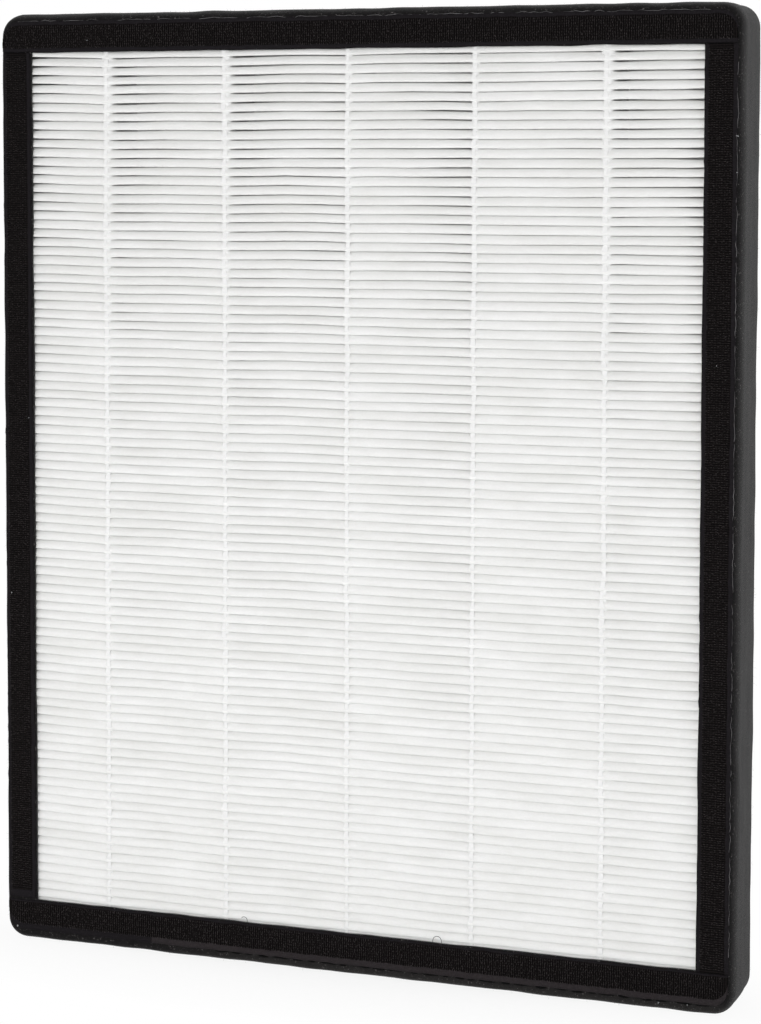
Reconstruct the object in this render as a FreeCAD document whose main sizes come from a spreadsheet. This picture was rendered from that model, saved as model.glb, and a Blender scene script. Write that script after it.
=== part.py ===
import FreeCAD, Part
import math
import os
import Sketcher

# Pleated air filter panel with a felt frame and hook-and-loop strips round its front window.
# It stands upright: X is its width, Z its height, and the front with the strips faces -Y.
# The origin is at the middle of its bottom. All lengths are in millimetres.

Vector = FreeCAD.Vector

SIZES = {
    # felt frame
    "frame_width": 325.5,
    "frame_height": 405.0,
    "frame_depth": 32.0,
    "corner_radius": 9.5,
    "wall_thickness": 1.8,
    "flange_thickness": 1.2,
    "front_edge_round": 3.5,
    "inner_edge_chamfer": 1.2,
    "back_edge_chamfer": 0.8,
    # front window, measured in from the frame's outside
    "side_border": 15.65,
    "top_border": 16.75,
    "bottom_border": 18.35,
    # ring that closes the back
    "ring_border": 14.0,
    "ring_thickness": 1.2,
    "ring_clearance": 0.15,
    # hook-and-loop strips
    "tape_width": 13.0,
    "tape_setback": 0.3,
    "ribbon_thickness": 0.6,
    "pile_height": 0.9,
    "selvedge_width": 1.6,
    "tape_joint_gap": 0.3,
    "left_tape_shortfall": 1.3,
    # pleated media
    "pleat_pitch": 3.85,
    "media_thickness": 0.5,
    "fold_half_width": 1.4,
    "seal_thickness": 2.4,
    # hot-melt beads across the folds
    "bead_width": 1.8,
    "bead_height": 0.4,
    "bead_spacing": 55.0,
    "bead_row_offset": 3.0,
    "bead_clearance": 0.1,
}

BEAD_COUNT = 5
# A fold turns in narrow flats, as the scored felt does: this many outside and inside its crest
CREST_FLATS = 8
CREASE_FLATS = 3
LENGTH_TOLERANCE = 1e-4
SIDES = ("left", "right", "bottom", "top")
CORNERS = ("bottom_left", "bottom_right", "top_right", "top_left")

# Lengths that follow from the sizes above, as formulas that the features are bound to
TAPE_THICKNESS = "(Sizes.ribbon_thickness + Sizes.pile_height)"
FRONT_Y = f"(({TAPE_THICKNESS} - Sizes.frame_depth) / 2)"
BACK_Y = f"({FRONT_Y} + Sizes.frame_depth)"
HALF_WIDTH = "(Sizes.frame_width / 2)"
FLANGE_BACK_Y = f"({FRONT_Y} + Sizes.flange_thickness)"
RING_FRONT_Y = f"({BACK_Y} - Sizes.ring_thickness)"
CREST_GAP = "(Sizes.bead_height + Sizes.bead_clearance)"
CREST_Y = f"({FLANGE_BACK_Y} + {CREST_GAP})"
BACK_CREST_Y = f"({RING_FRONT_Y} - {CREST_GAP})"
CAVITY_HALF_WIDTH = f"({HALF_WIDTH} - Sizes.wall_thickness)"
CAVITY_TOP = "(Sizes.frame_height - Sizes.wall_thickness)"
CAVITY_RADIUS = "(Sizes.corner_radius - Sizes.wall_thickness)"
PACK_HALF_WIDTH = f"({CAVITY_HALF_WIDTH} - Sizes.seal_thickness)"
PACK_BOTTOM = "(Sizes.wall_thickness + Sizes.seal_thickness)"
PACK_TOP = f"({CAVITY_TOP} - Sizes.seal_thickness)"
WINDOW_HALF_WIDTH = f"({HALF_WIDTH} - Sizes.side_border)"
WINDOW_BOTTOM = "Sizes.bottom_border"
WINDOW_TOP = "(Sizes.frame_height - Sizes.top_border)"

document = FreeCAD.newDocument("PleatedFilter")


def make_sheet():
    """Put the driving sizes into the document's spreadsheet."""
    sheet = document.addObject("Spreadsheet::Sheet", "Sizes")
    for row, (alias, value) in enumerate(SIZES.items(), start=1):
        sheet.set(f"A{row}", alias)
        sheet.set(f"B{row}", str(value))
        sheet.setAlias(f"B{row}", alias)
    document.recompute()
    return sheet


sizes = make_sheet()


def value(formula):
    """The present value of a formula over the sheet, in millimetres or degrees."""
    found = sizes.evalExpression(formula)
    return float(getattr(found, "Value", found))


def bind(target, **formulas):
    """Bind properties of an object; a double underscore in a name stands for a dot."""
    for name, formula in formulas.items():
        target.setExpression(name.replace("__", "."), formula)


def new_body(label):
    """An empty body named for its piece."""
    body = document.addObject("PartDesign::Body", f"Body_{label}")
    body.Label = label
    return body


def new_sketch(body, name, plane, offset):
    """A sketch on one of the body's origin planes, moved along the plane's normal."""
    sketch = body.newObject("Sketcher::SketchObject", f"{name}_{body.Label}")
    origin_planes = {feature.Role: feature for feature in body.Origin.OriginFeatures}
    sketch.AttachmentSupport = [(origin_planes[plane], "")]
    sketch.MapMode = "FlatFace"
    bind(sketch, AttachmentOffset__Base__z=offset)
    return sketch


def front_sketch(body, name, y):
    """A sketch seen from the front, at depth y: its x is the width and its y the height."""
    return new_sketch(body, name, "XZ_Plane", f"-{y}")


def fix_distance(sketch, direction, geometry, point, formula):
    """Hold a point at a bound distance from the sketch's origin, on the side its value gives."""
    distance = value(formula)
    if distance < 0:
        ends = (geometry, point, -1, 1)
        formula = f"-({formula})"
    else:
        ends = (-1, 1, geometry, point)
    index = sketch.addConstraint(Sketcher.Constraint(direction, *ends, abs(distance)))
    sketch.setExpression(f"Constraints[{index}]", formula)


def draw_outline(sketch, left, right, bottom, top, radius="0", rounded=()):
    """Draw a constrained rectangle whose corners named in rounded have the given radius."""
    x_low, x_high, z_low, z_high = (value(side) for side in (left, right, bottom, top))
    points = [(x_low, z_low), (x_high, z_low), (x_high, z_high), (x_low, z_high)]
    steps = [(1, 0), (0, 1), (-1, 0), (0, -1)]
    trims = [value(radius) if corner in rounded else 0.0 for corner in CORNERS]
    lines = []
    for i, (along_x, along_z) in enumerate(steps):
        following = (i + 1) % len(points)
        start = Vector(points[i][0] + along_x * trims[i], points[i][1] + along_z * trims[i], 0)
        end = Vector(
            points[following][0] - along_x * trims[following],
            points[following][1] - along_z * trims[following],
            0,
        )
        lines.append(sketch.addGeometry(Part.LineSegment(start, end)))
        level = "Horizontal" if along_x else "Vertical"
        sketch.addConstraint(Sketcher.Constraint(level, lines[i]))
    for i, corner in enumerate(CORNERS):
        before = lines[i - 1]
        if not trims[i]:
            sketch.addConstraint(Sketcher.Constraint("Coincident", before, 2, lines[i], 1))
            continue
        into, out = steps[i - 1], steps[i]
        centre = Vector(
            points[i][0] + trims[i] * (out[0] - into[0]),
            points[i][1] + trims[i] * (out[1] - into[1]),
            0,
        )
        start_angle = math.atan2(-out[1], -out[0])
        circle = Part.Circle(centre, Vector(0, 0, 1), trims[i])
        arc = sketch.addGeometry(Part.ArcOfCircle(circle, start_angle, start_angle + math.pi / 2))
        sketch.addConstraint(Sketcher.Constraint("Tangent", before, 2, arc, 1))
        sketch.addConstraint(Sketcher.Constraint("Tangent", arc, 2, lines[i], 1))
        index = sketch.addConstraint(Sketcher.Constraint("Radius", arc, trims[i]))
        sketch.setExpression(f"Constraints[{index}]", radius)
    fix_distance(sketch, "DistanceY", lines[0], 1, bottom)
    fix_distance(sketch, "DistanceX", lines[1], 1, right)
    fix_distance(sketch, "DistanceY", lines[2], 1, top)
    fix_distance(sketch, "DistanceX", lines[3], 1, left)


def pad(body, sketch, length, towards_front=False):
    """Grow a sketch into a solid, to the back unless it is to grow to the front."""
    feature = body.newObject("PartDesign::Pad", f"Pad_{sketch.Name}")
    feature.Profile = sketch
    feature.Reversed = not towards_front
    bind(feature, Length=length)
    document.recompute()
    return feature


def pocket(body, sketch, length):
    """Cut a sketch's outline out of the body, from the sketch to the back."""
    feature = body.newObject("PartDesign::Pocket", f"Pocket_{sketch.Name}")
    feature.Profile = sketch
    volume_before = body.Shape.Volume
    bind(feature, Length=length)
    document.recompute()
    if not body.Shape.Volume < volume_before:
        raise RuntimeError(f"{feature.Name} cuts nothing")
    return feature


def edges_at(feature, y_formula):
    """The feature and the names of its edges that lie in the plane at that y."""
    y = value(y_formula)
    names = []
    for number, edge in enumerate(feature.Shape.Edges, start=1):
        box = edge.BoundBox
        if abs(box.YMin - y) < LENGTH_TOLERANCE and abs(box.YMax - y) < LENGTH_TOLERANCE:
            names.append(f"Edge{number}")
    return feature, names


def round_edges(body, edges, radius):
    """Round a feature's edges."""
    fillet = body.newObject("PartDesign::Fillet", f"Round_{edges[0].Name}")
    fillet.Base = edges
    bind(fillet, Radius=radius)
    document.recompute()
    return fillet


def bevel_edges(body, edges, size):
    """Bevel a feature's edges at 45 degrees."""
    chamfer = body.newObject("PartDesign::Chamfer", f"Bevel_{edges[0].Name}")
    chamfer.Base = edges
    bind(chamfer, Size=size)
    document.recompute()
    return chamfer


def make_frame_shell():
    """Moulded felt shell: a wall round the pack and a front flange with the window, in one piece."""
    body = new_body("frame_shell")
    outside = front_sketch(body, "Outside", FRONT_Y)
    draw_outline(
        outside, f"-{HALF_WIDTH}", HALF_WIDTH, "0", "Sizes.frame_height", "Sizes.corner_radius", CORNERS
    )
    block = pad(body, outside, "Sizes.frame_depth")
    rounded = round_edges(body, edges_at(block, FRONT_Y), "Sizes.front_edge_round")
    bevel_edges(body, edges_at(rounded, BACK_Y), "Sizes.back_edge_chamfer")
    inside = front_sketch(body, "Cavity", FLANGE_BACK_Y)
    draw_outline(
        inside,
        f"-{CAVITY_HALF_WIDTH}",
        CAVITY_HALF_WIDTH,
        "Sizes.wall_thickness",
        CAVITY_TOP,
        CAVITY_RADIUS,
        CORNERS,
    )
    cavity = pocket(body, inside, "Sizes.frame_depth")
    bevel_edges(body, edges_at(cavity, FLANGE_BACK_Y), "Sizes.inner_edge_chamfer")
    opening = front_sketch(body, "Window", FRONT_Y)
    draw_outline(opening, f"-{WINDOW_HALF_WIDTH}", WINDOW_HALF_WIDTH, WINDOW_BOTTOM, WINDOW_TOP)
    pocket(body, opening, "2 * Sizes.flange_thickness")
    return body


def make_back_ring():
    """Flat felt ring glued into the back of the shell, flush with its wall."""
    body = new_body("back_ring")
    sketch = front_sketch(body, "Ring", RING_FRONT_Y)
    clear = "Sizes.ring_clearance"
    draw_outline(
        sketch,
        f"-({CAVITY_HALF_WIDTH} - {clear})",
        f"{CAVITY_HALF_WIDTH} - {clear}",
        f"Sizes.wall_thickness + {clear}",
        f"{CAVITY_TOP} - {clear}",
        f"{CAVITY_RADIUS} - {clear}",
        CORNERS,
    )
    draw_outline(
        sketch,
        f"-({HALF_WIDTH} - Sizes.ring_border)",
        f"{HALF_WIDTH} - Sizes.ring_border",
        "Sizes.ring_border",
        "Sizes.frame_height - Sizes.ring_border",
    )
    pad(body, sketch, "Sizes.ring_thickness")
    return body


def make_potting_seal():
    """Poured adhesive that seals the pack's four sides to the shell's wall."""
    body = new_body("potting_seal")
    front = f"({FLANGE_BACK_Y} + Sizes.inner_edge_chamfer)"
    sketch = front_sketch(body, "Seal", front)
    draw_outline(
        sketch,
        f"-{CAVITY_HALF_WIDTH}",
        CAVITY_HALF_WIDTH,
        "Sizes.wall_thickness",
        CAVITY_TOP,
        CAVITY_RADIUS,
        CORNERS,
    )
    draw_outline(sketch, f"-{PACK_HALF_WIDTH}", PACK_HALF_WIDTH, PACK_BOTTOM, PACK_TOP)
    pad(body, sketch, f"{RING_FRONT_Y} - {front}")
    return body


def fold_turn(fold, depth, flats):
    """Points round one fold, from low z to high z, at a depth below its outer surface.

    A fold is (crest y, centre z, way it faces), where the way is 1 for the front and -1 for the back.
    """
    crest_y, centre_z, facing = fold
    half_width = value("Sizes.fold_half_width")
    radius = half_width - depth
    points = []
    for number in range(flats + 1):
        turn = math.pi * (number / flats - 0.5)
        y = crest_y + facing * (half_width - radius * math.cos(turn))
        points.append(Vector(0, y, centre_z + radius * math.sin(turn)))
    return points


def media_side(folds, outer_way):
    """Points up one side of the sheet. The folds that face outer_way turn outside their crests there."""
    points = []
    for fold in folds:
        if fold[2] == outer_way:
            points += fold_turn(fold, 0, CREST_FLATS)
        else:
            points += fold_turn(fold, value("Sizes.media_thickness"), CREASE_FLATS)
    return points


def pack_folds():
    """Every fold of the pack as (crest y, centre z, way it faces), front and back in turn."""
    half_width = value("Sizes.fold_half_width")
    bottom, top = value(PACK_BOTTOM), value(PACK_TOP)
    span = top - bottom - 2 * half_width
    front_count = round(span / value("Sizes.pleat_pitch")) + 1
    step = span / (front_count - 1) / 2
    front_y, back_y = value(CREST_Y), value(BACK_CREST_Y)
    folds = []
    for number in range(2 * front_count - 1):
        at_front = number % 2 == 0
        crest_y = front_y if at_front else back_y
        folds.append((crest_y, bottom + half_width + number * step, 1 if at_front else -1))
    return folds


def make_pleated_media():
    """White filter media: one sheet folded to and fro from the front of the pack to its back.

    The sheet's first and last leaves end at the back, square to the pack.
    """
    folds = pack_folds()
    front_side = media_side(folds, 1)
    back_side = media_side(folds, -1)
    end_y = value(BACK_CREST_Y)
    first_leaf = [Vector(0, end_y, side[0].z) for side in (back_side, front_side)]
    last_leaf = [Vector(0, end_y, side[-1].z) for side in (front_side, back_side)]
    outline = front_side + last_leaf + back_side[::-1] + first_leaf
    section = document.addObject("Part::Feature", "MediaSection")
    section.Shape = Part.makePolygon(outline + outline[:1])
    media = document.addObject("Part::Extrusion", "Media")
    media.Label = "pleated_media"
    media.Base = section
    media.DirMode = "Custom"
    media.Dir = Vector(1, 0, 0)
    media.Solid = True
    media.Symmetric = True
    bind(media, LengthFwd=f"2 * {PACK_HALF_WIDTH}")
    return media


def make_bead(label, number, crest_y, turn):
    """Hot-melt bead laid down the pack across the crests, with a flat foot and a domed top."""
    body = new_body(label)
    sketch = new_sketch(body, "Section", "XY_Plane", "0")
    half_width = value("Sizes.bead_width") / 2
    height = value("Sizes.bead_height")
    low, high = Vector(-half_width, 0, 0), Vector(half_width, 0, 0)
    foot = sketch.addGeometry(Part.LineSegment(low, high))
    dome = sketch.addGeometry(Part.Arc(low, Vector(0, -height, 0), high))
    sketch.addConstraint(Sketcher.Constraint("Horizontal", foot))
    sketch.addConstraint(Sketcher.Constraint("Coincident", foot, 1, dome, 1))
    sketch.addConstraint(Sketcher.Constraint("Coincident", foot, 2, dome, 2))
    sketch.addConstraint(Sketcher.Constraint("Symmetric", foot, 1, foot, 2, -1, 1))
    bound = {
        sketch.addConstraint(
            Sketcher.Constraint("DistanceX", foot, 1, foot, 2, 2 * half_width)
        ): "Sizes.bead_width",
        sketch.addConstraint(
            Sketcher.Constraint("Radius", dome, (half_width**2 + height**2) / (2 * height))
        ): "(Sizes.bead_width^2 / 4 + Sizes.bead_height^2) / (2 * Sizes.bead_height)",
    }
    for index, formula in bound.items():
        sketch.setExpression(f"Constraints[{index}]", formula)
    pad(body, sketch, f"{PACK_TOP} - {PACK_BOTTOM}", towards_front=True)
    body.Placement = FreeCAD.Placement(Vector(), FreeCAD.Rotation(Vector(0, 0, 1), turn))
    from_middle = number - (BEAD_COUNT + 1) / 2
    bind(
        body,
        Placement__Base__x=f"{from_middle} * Sizes.bead_spacing - Sizes.bead_row_offset",
        Placement__Base__y=crest_y,
        Placement__Base__z=PACK_BOTTOM,
    )
    return body


def make_beads():
    """Rows of beads on the pack's front and back, each pair in line through the pack."""
    beads = []
    for number in range(1, BEAD_COUNT + 1):
        beads.append(make_bead(f"front_glue_bead_{number}", number, CREST_Y, 0))
        beads.append(make_bead(f"rear_glue_bead_{number}", number, BACK_CREST_Y, 180))
    return beads


def make_tape(label, outline, rounded, bare_sides):
    """Fastener strip: a woven ribbon with a raised pile field between its two plain selvedges.

    outline gives the ribbon's left, right, bottom and top, rounded the corners that follow the
    frame's, and bare_sides the sides where the ribbon shows past the pile.
    """
    body = new_body(label)
    margin = "(Sizes.side_border - Sizes.tape_setback - Sizes.tape_width)"
    radius = f"(Sizes.corner_radius - {margin})"
    ribbon = front_sketch(body, "Ribbon", FRONT_Y)
    draw_outline(ribbon, *outline, radius, rounded)
    pad(body, ribbon, "Sizes.ribbon_thickness", towards_front=True)
    inset = {"left": "+", "right": "-", "bottom": "+", "top": "-"}
    field = [
        f"{edge} {inset[side]} Sizes.selvedge_width" if side in bare_sides else edge
        for side, edge in zip(SIDES, outline)
    ]
    pile = front_sketch(body, "Pile", f"({FRONT_Y} - Sizes.ribbon_thickness)")
    draw_outline(pile, *field, f"({radius} - Sizes.selvedge_width)", rounded)
    pad(body, pile, "Sizes.pile_height", towards_front=True)
    return body


def make_tapes():
    """Four fastener strips round the window: two over the full width, two butted between them."""
    inner = f"({WINDOW_HALF_WIDTH} + Sizes.tape_setback)"
    outer = f"({inner} + Sizes.tape_width)"
    top_low = f"({WINDOW_TOP} + Sizes.tape_setback)"
    top_high = f"({top_low} + Sizes.tape_width)"
    bottom_high = f"({WINDOW_BOTTOM} - Sizes.tape_setback)"
    bottom_low = f"({bottom_high} - Sizes.tape_width)"
    side_top = f"({top_low} - Sizes.tape_joint_gap)"
    left_bottom = f"({bottom_high} + Sizes.left_tape_shortfall)"
    right_bottom = f"({bottom_high} + Sizes.tape_joint_gap)"
    return [
        make_tape(
            "top_fastener_tape",
            (f"-{outer}", outer, top_low, top_high),
            ("top_left", "top_right"),
            SIDES,
        ),
        make_tape(
            "bottom_fastener_tape",
            (f"-{outer}", outer, bottom_low, bottom_high),
            ("bottom_left", "bottom_right"),
            SIDES,
        ),
        make_tape(
            "left_fastener_tape", (f"-{outer}", f"-{inner}", left_bottom, side_top), (), ("left", "right")
        ),
        make_tape(
            "right_fastener_tape", (inner, outer, right_bottom, side_top), (), ("left", "right")
        ),
    ]


def check_document():
    """Stop if any object failed to rebuild."""
    for item in document.Objects:
        if "Invalid" in item.State or "Error" in item.State:
            raise RuntimeError(f"{item.Label} did not rebuild: {item.State}")


def export(pieces):
    """Write each piece to its own file after testing its solid."""
    for piece in pieces:
        shape = piece.Shape
        if shape.isNull() or not shape.isValid() or len(shape.Solids) != 1:
            raise RuntimeError(f"{piece.Label} is not one valid solid")
        shape.exportStep(f"parts/{piece.Label}.step")
        print(f"{piece.Label}: {shape.Volume / 1000:.1f} cm3")


os.makedirs("parts", exist_ok=True)
pieces = [
    make_frame_shell(),
    make_back_ring(),
    make_potting_seal(),
    make_pleated_media(),
    *make_beads(),
    *make_tapes(),
]
document.recompute()
check_document()
export(pieces)
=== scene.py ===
"""Pleated air filter panel, dressed for a plain studio picture.

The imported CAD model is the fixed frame. Each class below builds one sub-assembly of the filter over
its solids: the felt frame, the folded media with its hot melt, and the fastener strips round the
window. Lengths are in millimetres until a mesh is made, in the CAD model's own frame: X is the
width, Z the height, and the front faces -Y.
"""

import logging
import math
from dataclasses import astuple, dataclass, replace
from enum import Enum

import bmesh
import bpy
import numpy as np
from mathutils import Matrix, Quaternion, Vector


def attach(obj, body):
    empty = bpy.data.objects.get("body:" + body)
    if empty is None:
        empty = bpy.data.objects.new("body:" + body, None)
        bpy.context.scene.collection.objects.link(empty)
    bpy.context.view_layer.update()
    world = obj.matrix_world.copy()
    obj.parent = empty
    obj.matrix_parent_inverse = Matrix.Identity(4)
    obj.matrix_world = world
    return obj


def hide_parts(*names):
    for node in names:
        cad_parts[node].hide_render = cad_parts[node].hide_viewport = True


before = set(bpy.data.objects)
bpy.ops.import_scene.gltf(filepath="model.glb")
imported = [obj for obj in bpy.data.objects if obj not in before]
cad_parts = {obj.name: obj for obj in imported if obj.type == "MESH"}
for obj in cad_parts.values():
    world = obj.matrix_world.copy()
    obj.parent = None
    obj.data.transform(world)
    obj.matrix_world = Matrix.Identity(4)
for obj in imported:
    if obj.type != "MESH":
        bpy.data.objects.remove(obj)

log = logging.getLogger("filter_panel")

MM = 0.001
BODY = "root"

# Every ring round the panel has the same number of steps, so that rings join up as a grid.
STEPS_ACROSS = 104
STEPS_UP = 130
STEPS_ROUND_CORNER = 12

Pair = tuple[float, float]
Triple = tuple[float, float, float]
Colour = Triple
Curve = tuple[tuple[float, ...], tuple[float, ...]]
Array = np.ndarray
Socket = bpy.types.NodeSocket
Material = bpy.types.Material
Piece = bpy.types.Object


class Slot(Enum):
    """The record's material slots."""

    FELT = "frame_felt"
    MEDIA = "filter_media"
    ADHESIVE = "seal_adhesive"
    HOT_MELT = "hot_melt"
    TAPE = "fastener_tape"


class Run(Enum):
    """The axis that a strip or a row of threads runs along."""

    ACROSS = 0
    UP = 2


class NodeGraph:
    """The node tree of a material or world, with short calls to add nodes and join them."""

    def __init__(self, name: str, kind: str = "materials") -> None:
        """Start an empty tree.

        Args:
            name: the name of the material or world.
            kind: the list in Blender's data that it goes in.
        """
        self.owner = getattr(bpy.data, kind).new(name)
        self.owner.use_nodes = True
        self.tree = self.owner.node_tree
        self.tree.nodes.clear()

    def add(self, kind: str, **inputs: object) -> bpy.types.Node:
        """Add a node and fill its sockets.

        Args:
            kind: the node's type without its "ShaderNode" start.
            **inputs: values or sockets by socket name, with spaces written as underscores.

        Returns:
            The new node.
        """
        node = self.tree.nodes.new(f"ShaderNode{kind}")
        for name, value in inputs.items():
            self.feed(node.inputs[name.replace("_", " ")], value)
        return node

    def feed(self, socket: Socket, value: object) -> None:
        """Join a socket to another one, or set its value.

        Args:
            socket: the socket to fill.
            value: an output socket, a number, a colour or a vector.
        """
        if isinstance(value, Socket):
            self.tree.links.new(value, socket)
        elif socket.type == "RGBA":
            socket.default_value = (*value, 1.0)
        else:
            socket.default_value = value

    def place(self, stretch: Triple = (1.0, 1.0, 1.0)) -> Socket:
        """The surface's own place in millimetres.

        Args:
            stretch: how many times a pattern is drawn out along X, Y and Z.

        Returns:
            A vector socket.
        """
        coordinates = self.add("TexCoord")
        mapping = self.add("Mapping", Vector=coordinates.outputs["Object"])
        mapping.inputs["Scale"].default_value = [1.0 / (MM * s) for s in stretch]
        return mapping.outputs["Vector"]

    def noise(
        self, grain: float, detail: float = 3.0, rough: float = 0.6, stretch: Triple = (1.0, 1.0, 1.0)
    ) -> Socket:
        """Cloudy noise.

        Args:
            grain: the size of its largest spots, in millimetres.
            detail: how many finer layers it has.
            rough: how strong the finer layers are.
            stretch: how many times it is drawn out along X, Y and Z.

        Returns:
            A socket from 0 to 1.
        """
        place = self.place(stretch)
        node = self.add("TexNoise", Vector=place, Scale=1.0 / grain, Detail=detail, Roughness=rough)
        return node.outputs["Fac"]

    def spread(self, value: Socket, low: float, high: float, start: float = 0.0, end: float = 1.0) -> Socket:
        """Stretch a value's range from low to high onto start to end, and clamp it there."""
        node = self.add("MapRange", Value=value, From_Min=low, From_Max=high, To_Min=start, To_Max=end)
        return node.outputs["Result"]

    def shade(self, share: Socket, low: Colour | Socket, high: Colour) -> Socket:
        """Mix two colours.

        Args:
            share: 0 for the first colour and 1 for the second.
            low: the first colour.
            high: the second colour.

        Returns:
            A colour socket.
        """
        node = self.add("Mix")
        node.data_type = "RGBA"
        ends = [socket for socket in node.inputs if socket.type == "RGBA"]
        self.feed(node.inputs["Factor"], share)
        self.feed(ends[0], low)
        self.feed(ends[1], high)
        return next(socket for socket in node.outputs if socket.type == "RGBA")

    def math(self, operation: str, *values: object) -> Socket:
        """Work out one sum.

        Args:
            operation: Blender's name for it, such as "MULTIPLY".
            *values: numbers or sockets.

        Returns:
            A value socket.
        """
        node = self.add("Math")
        node.operation = operation
        for socket, value in zip(node.inputs, values):
            self.feed(socket, value)
        return node.outputs["Value"]

    def total(self, *parts: tuple[Socket, float]) -> Socket:
        """Add up several sockets.

        Args:
            *parts: each socket, with its weight.

        Returns:
            A value socket.
        """
        result = 0.0
        for socket, weight in parts:
            result = self.math("MULTIPLY_ADD", socket, weight, result)
        return result

    def bump(self, height: Socket, depth: float, under: Socket | None = None) -> Socket:
        """Relief from a height.

        Args:
            height: the height, from 0 to 1.
            depth: how far 1 stands above 0, in millimetres.
            under: a normal that the relief lies on, if any.

        Returns:
            A normal socket.
        """
        node = self.add("Bump", Height=height, Distance=depth * MM)
        if under is not None:
            self.feed(node.inputs["Normal"], under)
        return node.outputs["Normal"]

    def seen(self) -> Socket:
        """Tell the rays that reach the camera, straight or by way of gloss or glass.

        Returns:
            A socket that is 1 for such rays and 0 for others.
        """
        path = self.add("LightPath").outputs
        turned = self.math("MAXIMUM", path["Is Glossy Ray"], path["Is Transmission Ray"])
        return self.math("MAXIMUM", path["Is Camera Ray"], turned)

    def mix(self, share: Socket | float, first: Socket, second: Socket) -> Socket:
        """Mix two shaders.

        Args:
            share: 0 for the first shader and 1 for the second.
            first: the first shader.
            second: the second shader.

        Returns:
            A shader socket.
        """
        node = self.add("MixShader", Fac=share)
        self.feed(node.inputs[1], first)
        self.feed(node.inputs[2], second)
        return node.outputs["Shader"]

    def surface(self, let_through: float = 0.0, **inputs: object) -> Material:
        """Finish the material with a principled surface.

        Args:
            let_through: the share of light that a thin sheet lets through.
            **inputs: the shader's sockets, with spaces written as underscores.

        Returns:
            The material.
        """
        shader = self.add("BsdfPrincipled", **inputs).outputs["BSDF"]
        if let_through:
            behind = self.add("BsdfTranslucent", Color=inputs["Base_Color"], Normal=inputs["Normal"])
            shader = self.mix(let_through, shader, behind.outputs["BSDF"])
        self.add("OutputMaterial", Surface=shader)
        return self.owner


@dataclass(frozen=True)
class FeltFinish:
    """Pressed black felt: matt, mottled, with drawn-out fibres and pale flecks, and painted lighter at the
    foot.
    """

    name: str = "felt"
    dark: Colour = (0.004, 0.0038, 0.004)
    light: Colour = (0.0140, 0.0128, 0.0131)
    fleck: Colour = (0.135, 0.124, 0.124)
    # A lighter colour painted at the foot: its colour, its height, where it starts along X and how far it
    # fades in.
    pale_foot_colour: Colour = (0.044, 0.042, 0.040)
    pale_foot_height: float = 7.0
    pale_foot_from: float = -90.0
    pale_foot_fade: float = 50.0
    streak: Triple = (1.0, 1.0, 9.0)
    fibre: float = 0.35
    mottle: float = 5.0
    sheen: float = 0.135

    def material(self) -> Material:
        """Make the felt.

        Returns:
            The material.
        """
        graph = NodeGraph(self.name)
        drawn = graph.noise(self.fibre * 1.6, 4.0, 0.7, self.streak)
        fine = graph.noise(self.fibre, 3.0, 0.7)
        tone = graph.total((fine, 0.3), (drawn, 0.5), (graph.noise(self.mottle, 3.0, 0.55), 0.35))
        colour = graph.shade(graph.spread(tone, 0.4, 0.78), self.dark, self.light)
        flecks = graph.spread(graph.noise(self.fibre * 3.0, 5.0, 0.8), 0.59, 0.67)
        colour = graph.shade(flecks, colour, self.fleck)
        # Paint the felt lighter towards the foot, fading in rightwards from the start along X, in patches
        # from the fine noise.
        place = graph.add("SeparateXYZ", Vector=graph.place()).outputs
        pale_foot = graph.spread(place["Z"], 1.0, self.pale_foot_height, 0.6, 0.0)
        along = graph.spread(place["X"], self.pale_foot_from, self.pale_foot_from + self.pale_foot_fade)
        for share in (along, graph.spread(fine, 0.25, 0.6)):
            pale_foot = graph.math("MULTIPLY", pale_foot, share)
        return graph.surface(
            Base_Color=graph.shade(pale_foot, colour, self.pale_foot_colour),
            Roughness=graph.spread(fine, 0.2, 0.8, 0.82, 1.0),
            Normal=graph.bump(drawn, 0.10, graph.bump(fine, 0.12)),
            Specular_IOR_Level=0.05,
            Sheen_Weight=self.sheen,
            Sheen_Roughness=0.45,
        )


@dataclass(frozen=True)
class MediaFinish:
    """White nonwoven filter felt, matt, with faint clouding and a fibrous tooth."""

    name: str = "filter_felt"
    low: Colour = (0.86, 0.86, 0.845)
    high: Colour = (0.93, 0.93, 0.925)
    cloud: float = 9.0
    fibre: float = 0.4
    streak: Triple = (3.0, 1.0, 1.0)
    let_through: float = 0.15

    def material(self) -> Material:
        """Make the media.

        Returns:
            The material.
        """
        graph = NodeGraph(self.name)
        fibre = graph.noise(self.fibre, 3.0, 0.7, self.streak)
        tone = graph.total((graph.noise(self.cloud, 3.0, 0.6, self.streak), 0.6), (fibre, 0.4))
        return graph.surface(
            Base_Color=graph.shade(graph.spread(tone, 0.35, 0.65), self.low, self.high),
            Roughness=graph.spread(fibre, 0.2, 0.8, 0.85, 1.0),
            Normal=graph.bump(fibre, 0.05),
            Specular_IOR_Level=0.1,
            let_through=self.let_through,
        )


@dataclass(frozen=True)
class HotMeltFinish:
    """White hot melt: waxy, a little translucent and uneven."""

    name: str = "hot_melt"
    low: Colour = (0.745, 0.745, 0.74)
    high: Colour = (0.81, 0.81, 0.81)
    grain: float = 1.6

    def material(self) -> Material:
        """Make the hot melt.

        Returns:
            The material.
        """
        graph = NodeGraph(self.name)
        lumps = graph.noise(self.grain, 3.0, 0.55)
        return graph.surface(
            Base_Color=graph.shade(graph.spread(lumps, 0.3, 0.7), self.low, self.high),
            Roughness=graph.spread(lumps, 0.3, 0.7, 0.4, 0.6),
            Normal=graph.bump(lumps, 0.08),
            Specular_IOR_Level=0.2,
        )


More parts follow.
